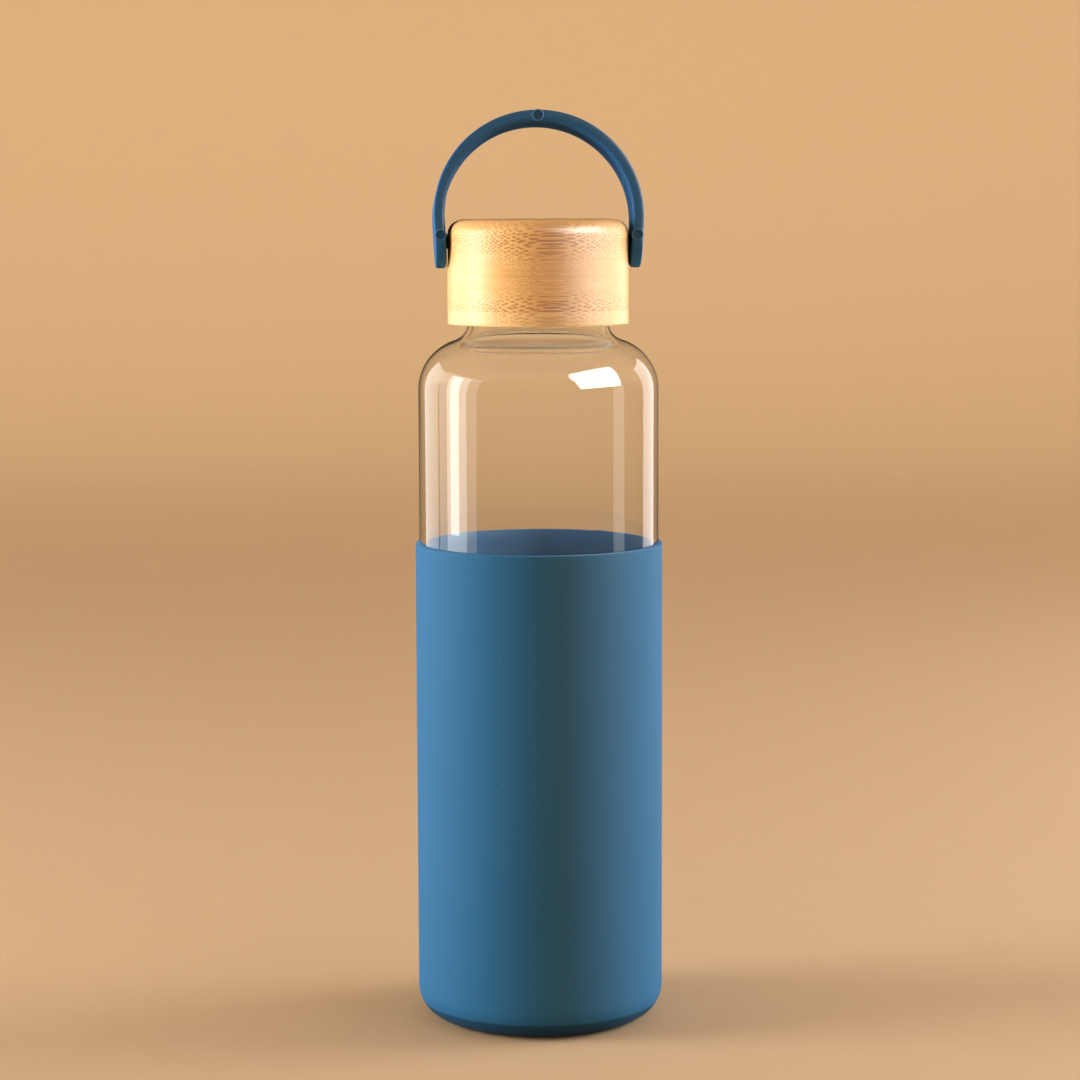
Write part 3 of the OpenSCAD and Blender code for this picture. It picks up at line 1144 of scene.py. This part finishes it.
@dataclass
class Lid:
    """The bamboo cap with the screw liner that is glued into it."""

    edge: float = 4 * MM
    foot: float = 0.5 * MM
    bore: float = 21.8 * MM
    bore_top: float = 209.25 * MM
    glue: float = 0.05 * MM
    plate_depth: float = 1.25 * MM
    pin_radius: float = 2 * MM
    pin_root: float = 15.95 * MM
    liner_bore: float = 20.55 * MM
    ceiling: float = 207.75 * MM
    thread_crest: float = 19.35 * MM
    cap: Span = field(default_factory=lambda: Span.of("bamboo_cap"))
    liner: Span = field(default_factory=lambda: Span.of("screw_liner"))

    def build(self, finishes: Finishes) -> None:
        """Builds and dresses the cap and the liner."""
        install(self.build_cap(), finishes.bamboo, Body.LID, "bamboo_cap")
        install(self.build_liner(), finishes.liner, Body.LID, "screw_liner")

    def build_cap(self) -> bpy.types.Object:
        """Turns the cap and cuts the pockets of the plates and the holes of the pins."""
        low, top, radius = self.cap.low.z, self.cap.high.z, self.cap.radius
        mouth = 0.3 * MM
        sides = [low + z * MM for z in (4, 8, 12, 16, 20)]
        outline = (
            [(2 * MM, self.bore_top), (self.bore, self.bore_top)]
            + [(self.bore, low + mouth), (self.bore + mouth, low)]
            + arc((radius - self.foot, low + self.foot), self.foot, -90, 0, 6)
            + [(radius, z) for z in sides]
            + arc((radius - self.edge, top - self.edge), self.edge, 0, 90, 16)
            + [(12 * MM, top), (2 * MM, top)]
        )
        cap = turn("Bamboo_cap", outline)
        for side in (1, -1):
            pocket = PlateShape().sheet("Pocket", self.plate_depth + self.glue, self.glue)
            apply(pocket, "SOLIDIFY", thickness=6 * MM, offset=1)
            if side < 0:
                flip(pocket)
            clean(pocket)
            combine(cap, pocket, "DIFFERENCE")
            start = Vector((side * (self.pin_root - self.glue), 0, PlateShape().pivot))
            hole = rod("Pin_hole", start, side * 10 * MM, self.pin_radius + self.glue, Axis.X)
            combine(cap, hole, "DIFFERENCE")
        smooth(cap, 40)
        return cap

    def build_liner(self) -> bpy.types.Object:
        """Turns the liner, winds its thread and presses in the grip ribs of its glue face."""
        low, top, radius = self.liner.low.z, self.liner.high.z, self.liner.radius
        cut = 0.7 * MM
        outline: list[Point] = [(2 * MM, self.ceiling), (self.liner_bore, self.ceiling)]
        outline += [(self.liner_bore, low + cut), (self.liner_bore + cut, low), (radius, low)]
        for groove in (low + 5 * MM, low + 10 * MM):
            outline += [
                (radius, groove),
                (radius - 0.4 * MM, groove),
                (radius - 0.4 * MM, groove + 1.2 * MM),
                (radius, groove + 1.2 * MM),
            ]
        outline += [(radius, top - cut), (radius - cut, top), (2 * MM, top)]
        liner = turn("Screw_liner", outline)
        thread = Thread(
            root=self.liner_bore + 0.3 * MM,
            crest=self.thread_crest,
            root_width=1.8 * MM,
            crest_width=0.8 * MM,
            height=195.7 * MM,
            start=-90,
            end=360,
        ).build("Liner_thread")
        combine(liner, thread, "UNION")
        smooth(liner, 40)
        return liner


def flip(piece: bpy.types.Object) -> None:
    """Mirrors a piece to the other side of the YZ plane, with its faces still looking outwards."""
    activate(piece)
    with editing():
        bpy.ops.mesh.select_all(action="SELECT")
        bpy.ops.transform.resize(value=(-1, 1, 1), center_override=(0, 0, 0))
        bpy.ops.mesh.flip_normals()


@dataclass
class Pivots:
    """The black plates and the pins that the handle turns on."""

    plate_thickness: float = 1 * MM
    plate_recess: float = 0.25 * MM
    plate_edge: float = 0.18 * MM
    pin_chamfer: float = 0.4 * MM

    def build(self, finishes: Finishes) -> None:
        """Builds and dresses a plate and a pin on each side."""
        for side in ("right", "left"):
            install(self.build_plate(side), finishes.plate, Body.LID, f"pivot_plate_{side}")
            install(self.build_pin(side), finishes.pin, Body.LID, f"pivot_pin_{side}")

    def build_plate(self, side: str) -> bpy.types.Object:
        """One plate.

        Args:
            side: "right" or "left".

        Returns:
            The plate.
        """
        shape = PlateShape()
        plate = shape.sheet(f"Pivot_plate_{side}", self.plate_recess, 0)
        apply(plate, "SOLIDIFY", thickness=self.plate_thickness, offset=-1, use_even_offset=True)
        apply(
            plate,
            "BEVEL",
            width=self.plate_edge,
            segments=2,
            limit_method="ANGLE",
            angle_limit=math.radians(50),
        )
        if side == "left":
            flip(plate)
        clean(plate)
        pin = Span.of(f"pivot_pin_{side}")
        start = Vector((pin.low.x, 0, shape.pivot))
        hole = rod("Plate_hole", start, pin.high.x - pin.low.x, (pin.high.z - pin.low.z) / 2, Axis.X)
        combine(plate, hole, "DIFFERENCE")
        smooth(plate, 30)
        return plate

    def build_pin(self, side: str) -> bpy.types.Object:
        """One pin, with a chamfered end and a shallow recess sunk in its end face.

        Args:
            side: "right" or "left".

        Returns:
            The pin.
        """
        span = Span.of(f"pivot_pin_{side}")
        sign = 1 if side == "right" else -1
        radius = (span.high.z - span.low.z) / 2
        inner, outer = sorted((abs(span.low.x), abs(span.high.x)))
        height = (span.low.z + span.high.z) / 2
        pin = rod(f"Pivot_pin_{side}", Vector((sign * inner, 0, height)), sign * (outer - inner), radius, Axis.X)
        with editing():
            choose("edges", lambda e: all(abs(abs(v.co.x) - outer) < 1e-6 for v in e.verts))
            bpy.ops.mesh.bevel(offset=self.pin_chamfer, segments=3, affect="EDGES")
            choose("faces", lambda f: abs(f.normal.x) > 0.9 and abs(middle(f).x) > outer - 1e-6)
            bpy.ops.mesh.inset(thickness=0.5 * MM)
            bpy.ops.mesh.inset(thickness=0.1 * MM, depth=-0.12 * MM)
        clean(pin)
        smooth(pin, 30)
        return pin


@dataclass
class BailHandle:
    """The moulded bail: an arch of flat band with a channel inside, two arms and two round ears."""

    width: float = 13.4 * MM
    thickness: float = 3 * MM
    arch_height: float = 6.3 * MM
    draw: float = 2.9
    arch_radius: float = 28.2 * MM
    ear_face: float = 24.7 * MM
    ear_drop: float = 0.5 * MM
    bore: float = 2.06 * MM
    bore_depth: float = 2.2 * MM
    outer_edge: float = 0.5 * MM
    inner_edge: float = 0.95 * MM
    channel: float = 5.2 * MM
    channel_depth: float = 0.5 * MM
    mark: float = 1.2 * MM
    mark_depth: float = 0.2 * MM
    mark_rim: float = 0.42 * MM
    mark_proud: float = 0.12 * MM
    mark_height: float = 1 * MM
    lean: float = 7.2
    pivot: Vector = field(default_factory=lambda: Vector((0, 0, PlateShape().pivot)))

    def build(self, finishes: Finishes) -> None:
        """Builds, leans back and dresses the handle."""
        handle = self.build_band()
        self.round_edges(handle)
        self.cut_bores(handle)
        self.stamp_marks(handle)
        activate(handle)
        with editing():
            bpy.ops.mesh.select_all(action="SELECT")
            swing(-math.radians(self.lean), Axis.X, self.pivot)
        clean(handle, 1e-7)
        smooth(handle, 30)
        install(handle, finishes.handle, Body.HANDLE, "carry_handle")

    @property
    def centre(self) -> Vector:
        """Centre of the arch, while the handle stands upright."""
        return self.pivot + Vector((0, 0, self.arch_height))

    def build_band(self) -> bpy.types.Object:
        """Sweeps the band over the arch and down both arms to the round ends of the ears."""
        clear_selection()
        inner = self.arch_radius - self.thickness
        bpy.ops.mesh.primitive_plane_add(size=1, location=(0, 0, 0))
        handle = name_new("Carry_handle")
        turned = math.radians(self.draw)
        half = self.channel / 2
        with editing():
            bpy.ops.mesh.select_all(action="SELECT")
            bpy.ops.transform.resize(value=(self.thickness, self.width, 1))
            bpy.ops.transform.translate(value=(inner + self.thickness / 2, 0, 0))
            for y in (half, -half):
                bpy.ops.mesh.select_all(action="SELECT")
                bpy.ops.mesh.bisect(plane_co=(0, y, 0), plane_no=(0, 1, 0))
            bpy.ops.mesh.select_all(action="SELECT")
            bpy.ops.transform.translate(value=self.centre)
            swing(turned, Axis.Y, self.centre)
            steps = 72
            step = (math.pi + 2 * turned) / steps
            for _ in range(steps):
                lengthen(Vector((0, 0, 0)))
                swing(-step, Axis.Y, self.centre)
            self.extend_arm(-1)
            choose("faces", lambda f: middle(f).x > 0 and self.is_end(f))
            self.extend_arm(1)
            for side in (1, -1):
                choose(
                    "verts",
                    lambda v: v.co.z < self.pivot.z + self.arch_height - 1e-5
                    and 0 < v.co.x * side < self.ear_face,
                )
                stretch(Vector((0, 1, 1)), Vector((side * self.ear_face, 0, 0)))
        clean(handle)
        self.sink_channel(handle)
        return handle

    def is_end(self, face: Any) -> bool:
        """Whether a face closes the lower end of the arch."""
        return abs(face.normal.z) > 0.9 and middle(face).z < self.centre.z

    def extend_arm(self, side: int) -> None:
        """Draws the selected end of the arch down to the round end of its ear.

        Args:
            side: 1 for the right arm and -1 for the left.
        """
        radius = self.width / 2
        ear = self.pivot.z - self.ear_drop
        lean = math.tan(math.radians(self.draw))
        middle_radius = self.arch_radius - self.thickness / 2
        start = self.centre.z - middle_radius * math.sin(math.radians(self.draw))
        turned = 7.2
        count = int(90 // turned)
        levels = [(start - 0.6 * MM, 1.0), (ear + 3 * MM, 1.0), (ear, 1.0)]
        levels += [
            (ear - radius * math.sin(math.radians(turned * i)), math.cos(math.radians(turned * i)))
            for i in range(1, count + 1)
        ]
        height, share = start, 1.0
        for index, (level, wide) in enumerate(levels):
            drop = level - height
            lengthen(Vector((side * lean * drop, 0, drop)))
            if index == 0:
                stretch(Vector((1, 1, 0)), Vector((0, 0, level)))
            stretch(Vector((1, wide / share, 1)), Vector((0, 0, level)))
            height, share = level, wide

    def sink_channel(self, handle: bpy.types.Object) -> None:
        """Sinks the channel along the inside of the arch."""
        activate(handle)
        with editing():
            choose(
                "faces",
                lambda f: middle(f).z > self.centre.z - 0.5 * MM
                and abs(middle(f).y) < self.channel / 2
                and (middle(f) - self.centre).length < self.arch_radius - self.thickness + 0.2 * MM,
            )
            bpy.ops.mesh.inset(thickness=self.channel_depth, depth=-self.channel_depth)

    def round_edges(self, handle: bpy.types.Object) -> None:
        """Rounds the band's outer edges a little and its inner edges more."""
        activate(handle)
        ear_top = self.pivot.z - self.ear_drop + 3 * MM
        with editing():
            choose("faces", lambda f: abs(f.normal.x) > 0.9 and middle(f).z < ear_top)
            bpy.ops.mesh.dissolve_limited(angle_limit=math.radians(1))
            for width, steps, inside in ((self.outer_edge, 3, False), (self.inner_edge, 4, True)):
                choose("edges", lambda e: self.is_rim(e) and self.is_inner(e) == inside)
                bpy.ops.mesh.bevel(offset=width, segments=steps, affect="EDGES", clamp_overlap=False)

    @staticmethod
    def is_rim(edge: Any) -> bool:
        """Whether an edge is a sharp edge of the band or of an ear."""
        return len(edge.link_faces) == 2 and edge.calc_face_angle() > math.radians(70)

    def is_inner(self, edge: Any) -> bool:
        """Whether an edge is on the inside of the arch, of an arm or of an ear."""
        point = middle(edge)
        centre_line = self.arch_radius - self.thickness / 2
        drop = self.centre.z - point.z
        if drop < 0:
            return math.hypot(point.x, drop) < centre_line
        return abs(point.x) < centre_line - drop * math.tan(math.radians(self.draw))

    def cut_bores(self, handle: bpy.types.Object) -> None:
        """Cuts the blind holes that the pins snap into."""
        for side in (1, -1):
            start = self.pivot + Vector((side * (self.ear_face - 1 * MM), 0, 0))
            hole = rod("Ear_hole", start, side * (self.bore_depth + 1 * MM), self.bore, Axis.X)
            combine(handle, hole, "DIFFERENCE")

    def upright_marks(self) -> list[Vector]:
        """Middles of the ejector marks, while the handle stands upright."""
        middle_radius = self.arch_radius - self.thickness / 2
        across = middle_radius - self.arch_height * math.tan(math.radians(self.draw))
        top = self.centre + Vector((0, 0, middle_radius))
        places = [top] + [self.pivot + Vector((s * across, 0, self.mark_height)) for s in (1, -1)]
        return [Vector((p.x, -self.width / 2, p.z)) for p in places]

    def mark_places(self) -> tuple[tuple[float, float, float], ...]:
        """Middles of the ejector marks on the leaning handle, in millimetres."""
        lean = Matrix.Rotation(-math.radians(self.lean), 3, "X")
        leaned = [self.pivot + lean @ (p - self.pivot) for p in self.upright_marks()]
        return tuple(tuple(c / MM for c in p) for p in leaned)

    def stamp_marks(self, handle: bpy.types.Object) -> None:
        """Stamps the three round ejector marks in the front edge, each with its raised rim."""
        front = -self.width / 2
        outer = self.mark + self.mark_rim
        outline = [
            (0.3 * MM, self.mark_proud),
            (outer - 0.17 * MM, self.mark_proud),
            (outer, self.mark_proud - 0.15 * MM),
            (outer, -1.0 * MM),
            (outer - 0.2 * MM, -1.2 * MM),
            (0.3 * MM, -1.2 * MM),
        ]
        for place in self.upright_marks():
            pad = turn("Mark_pad", outline, sides=48)
            activate(pad)
            with editing():
                bpy.ops.mesh.select_all(action="SELECT")
                swing(math.pi / 2, Axis.X, Vector())
                bpy.ops.transform.translate(value=(place.x, front, place.z))
            clean(pad)
            combine(handle, pad, "UNION")
            start = Vector((place.x, front + self.mark_depth, place.z))
            punch = rod("Mark_punch", start, -1 * MM, self.mark, Axis.Y, 40)
            combine(handle, punch, "DIFFERENCE")


# --------------------------------------------------------------------------------------------- studio


@dataclass(frozen=True)
class Lamp:
    """A soft lamp that looks at the bottle from a direction."""

    name: str
    azimuth: float
    elevation: float
    distance: float
    width: float
    height: float
    power: float
    colour: Colour = (1, 1, 1)
    aim: float = 0.12
    diffuse: bool = True
    glossy: bool = True
    through: bool = False

    def build(self) -> None:
        """Hangs the lamp. Azimuth is measured from the front towards the right, in degrees."""
        a, e = math.radians(self.azimuth), math.radians(self.elevation)
        target = Vector((0, 0, self.aim))
        place = target + Vector((math.sin(a) * math.cos(e), -math.cos(a) * math.cos(e), math.sin(e))) * self.distance
        data = bpy.data.lights.new(self.name, "AREA")
        data.shape, data.size, data.size_y = "RECTANGLE", self.width, self.height
        data.energy, data.color = self.power, self.colour
        lamp = bpy.data.objects.new(self.name, data)
        bpy.context.collection.objects.link(lamp)
        lamp.location = place
        lamp.rotation_euler = (target - place).to_track_quat("-Z", "Y").to_euler()
        lamp.visible_diffuse = self.diffuse
        lamp.visible_glossy = self.glossy
        lamp.visible_transmission = self.through


@dataclass
class Studio:
    """Pale floor, soft lamps and the camera."""

    floor_radius: float = 1.5
    floor_bend: float = 1.6
    lens: float = 100.05
    turned: float = -3.8
    lamps: tuple[Lamp, ...] = (
        Lamp("Left_box", -86, 9, 1.05, 0.50, 0.72, 20, glossy=False),
        Lamp("Left_core", -90, 11, 1.05, 0.22, 0.62, 3.2, diffuse=False),
        Lamp("Left_halo", -88, 9, 1.06, 0.50, 0.74, 5.0, diffuse=False),
        Lamp("Left_veil", -88, 9, 1.08, 0.98, 0.84, 6.0, diffuse=False),
        Lamp("Left_rim", -128, 6, 1.10, 0.55, 0.85, 4.0, diffuse=False),
        Lamp("Right_box", 98, 9, 1.05, 0.60, 0.70, 20, glossy=False),
        Lamp("Right_octa", 60, 31, 1.1, 0.92, 0.66, 36, diffuse=False, through=True),
        Lamp("Right_glow", 78, -1, 1.1, 0.26, 0.90, 1.7, diffuse=False),
        Lamp("Right_rim", 127, 6, 1.10, 0.50, 0.85, 4.0, diffuse=False),
        Lamp("Top_back", 175, 66, 1.7, 1.6, 1.2, 1.6),
    )

    def build(self) -> None:
        """Builds the floor, the lamps, the world and the camera."""
        self.build_floor()
        for lamp in self.lamps:
            lamp.build()
        self.build_world()
        self.build_camera()

    def build_floor(self) -> None:
        """A wide round floor that curls up at its far edge."""
        clear_selection()
        bpy.ops.mesh.primitive_circle_add(vertices=128, radius=self.floor_radius, fill_type="NGON")
        floor = name_new("Studio_floor")
        steps = 24
        radius, height = self.floor_radius, 0.0
        with editing():
            choose("edges", lambda e: True)
            for i in range(1, steps + 1):
                angle = math.pi / 2 * i / steps
                level = self.floor_bend * (1 - math.cos(angle))
                wider = self.floor_radius + self.floor_bend * math.sin(angle)
                lengthen(Vector((0, 0, level - height)))
                stretch(Vector((wider / radius, wider / radius, 1)), Vector())
                radius, height = wider, level
        activate(floor)
        bpy.ops.object.shade_smooth()
        floor.visible_glossy = False
        floor.data.materials.append(StudioPaper().material("studio_paper"))

    def build_world(self) -> None:
        """A plain pale sky for the soft fill."""
        world = bpy.data.worlds.new("Studio_sky")
        world.use_nodes = True
        world.node_tree.nodes["Background"].inputs["Color"].default_value = (1.0, 0.97, 0.93, 1)
        world.node_tree.nodes["Background"].inputs["Strength"].default_value = 0.05
        bpy.context.scene.world = world
        bpy.context.scene.view_settings.view_transform = "Standard"

    def build_camera(self) -> None:
        """The camera, in front of the bottle and a little above its middle."""
        data = bpy.data.cameras.new("Camera")
        data.lens, data.sensor_width = self.lens, 36.0
        data.clip_start, data.clip_end = 0.05, 30
        camera = bpy.data.objects.new("Camera", data)
        bpy.context.collection.objects.link(camera)
        place = Vector((1.03 * MM, -812.05 * MM, 223.235 * MM))
        pitch, roll, yaw = 0.1128, -0.0035, -0.0009
        ahead = Vector((math.sin(yaw) * math.cos(pitch), math.cos(yaw) * math.cos(pitch), -math.sin(pitch)))
        right = Vector((math.cos(yaw), -math.sin(yaw), 0))
        up = right.cross(ahead)
        right, up = (
            right * math.cos(roll) + up * math.sin(roll),
            up * math.cos(roll) - right * math.sin(roll),
        )
        pose = Matrix((right, up, -ahead)).transposed().to_4x4()
        pose.translation = place
        camera.matrix_world = Matrix.Rotation(math.radians(self.turned), 4, "Z") @ pose
        bpy.context.scene.camera = camera


def main() -> None:
    """Builds every sub-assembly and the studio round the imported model."""
    logging.basicConfig(level=logging.INFO, format="%(name)s: %(message)s")
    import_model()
    finishes = Finishes()
    for assembly in (GlassBottle(), Sleeve(), Seal(), Lid(), Pivots(), BailHandle()):
        assembly.build(finishes)
    Studio().build()


if __name__ == "__main__":
    main()
